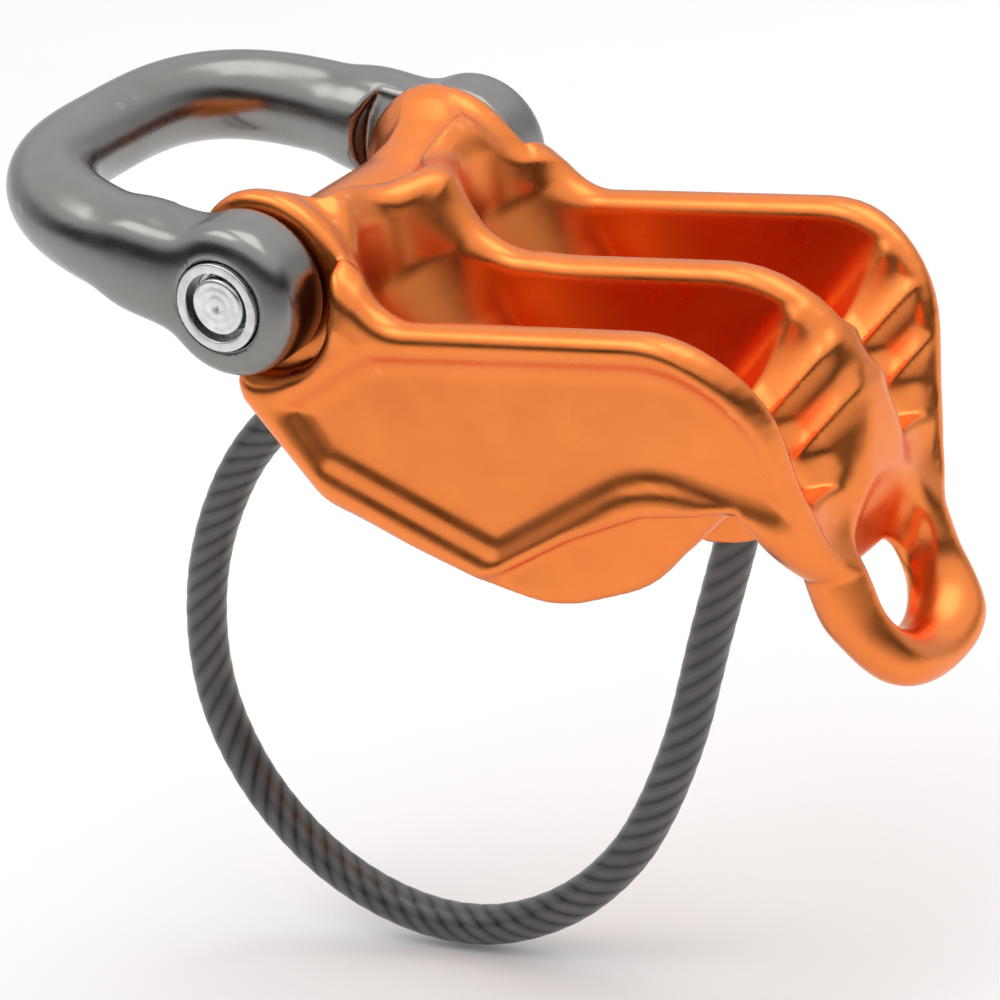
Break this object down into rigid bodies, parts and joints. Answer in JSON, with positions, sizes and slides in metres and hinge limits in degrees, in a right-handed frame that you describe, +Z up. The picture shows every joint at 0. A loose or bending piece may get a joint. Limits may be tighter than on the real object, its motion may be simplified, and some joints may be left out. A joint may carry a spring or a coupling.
{
  "type": "rope descender",
  "caption": "Tube-type rope descender and belay device: forged body with two rope slots and a nose eyelet, a swinging ring shackle on stub pins, and a sheathed wire keeper loop.",
  "frame": {"origin": "on the shackle's pivot axis, midway between the two pins", "axes": "+X from the shackle towards the nose, along the rope slots; +Y across the body along the pivot axis; +Z up, out of the slots' open tops"},
  "size_m": [0.0784, 0.0432, 0.0788],
  "materials": {
    "anodised_body": "orange satin anodised over a tumbled forging",
    "anodised_shackle": "dark grey polished anodised",
    "pin_steel": "turned and polished",
    "bush_steel": "turned",
    "wire": "stranded",
    "sheath": "smooth semi-gloss sleeve",
    "ferrule": "plain"
  },
  "bodies": {
    "root": {"body": "anodised_body", "pivot_pin_left": "pin_steel", "pivot_pin_right": "pin_steel", "cable_core": "wire", "cable_sheath": "sheath", "cable_ferrule_front": "ferrule", "cable_ferrule_rear": "ferrule"},
    "shackle_swing": {"shackle": "anodised_shackle", "pivot_bush_left": "bush_steel", "pivot_bush_right": "bush_steel"}
  },
  "joints": [
    {"name": "shackle_hinge", "type": "hinge", "parent": "root", "child": "shackle_swing", "pos_m": [0, 0, 0], "axis": [0, 1, 0], "range_deg": [-45, 115]}
  ]
}
